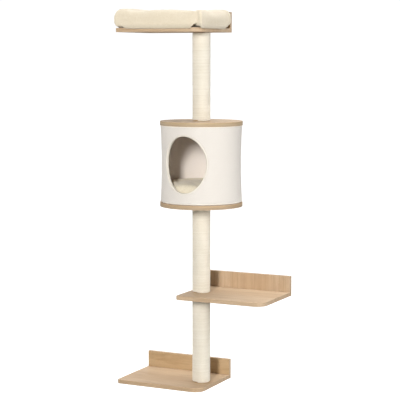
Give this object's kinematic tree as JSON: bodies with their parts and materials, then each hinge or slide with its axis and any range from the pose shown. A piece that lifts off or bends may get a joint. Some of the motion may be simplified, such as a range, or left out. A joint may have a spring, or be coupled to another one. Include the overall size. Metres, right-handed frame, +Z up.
{
  "type": "wall mounted cat tree",
  "caption": "Wall mounted climbing tree for cats: rope-wound post with offset shelves, a round padded cabin with an oval doorway, and a plush bed on top.",
  "frame": {"origin": "on the wall's face, midway between the two wall-screw holes of the lowest back panel", "axes": "+X along the wall, to the right for someone facing it; +Y into the wall; +Z up"},
  "size_m": [0.628, 0.318, 1.4604],
  "materials": {
    "oak_board": "matt light oak laminate",
    "steel": "zinc plated",
    "card_tube": "bare brown card",
    "rope": "natural wound rope",
    "plug_wood": "bare fibreboard",
    "disc_wood": "bare fibreboard",
    "cabin_fabric": "short greige felt",
    "cabin_core": "card lined with light felt",
    "binding": "woven tape",
    "plush": "cream plush",
    "bed_cloth": "non-slip cloth"
  },
  "bodies": {
    "frame": {"bottom_board": "oak_board", "bottom_back_panel": "oak_board", "middle_board": "oak_board", "middle_back_panel": "oak_board", "bed_board": "oak_board", "bed_back_panel": "oak_board", "shelf_joint_screws": "steel", "post_tubes": "card_tube", "post_ropes": "rope", "post_end_plugs": "plug_wood", "post_long_nuts": "steel", "post_joining_stud": "steel", "shelf_bolts": "steel", "cabin_bolts": "steel", "cabin_floor_board": "oak_board", "cabin_roof_board": "oak_board", "cabin_floor_disc": "disc_wood", "cabin_roof_disc": "disc_wood", "cabin_cover": "cabin_fabric", "cabin_core": "cabin_core", "cabin_door_binding": "binding", "cabin_cushion": "plush"},
    "bed": {"bed_bolster": "plush", "bed_pad": "plush", "bed_cloth": "bed_cloth"}
  },
  "joints": [
    {"name": "bed_lift_off", "type": "slide", "parent": "frame", "child": "bed", "axis": [0, 0, 1], "range_m": [0, 0.15]}
  ]
}
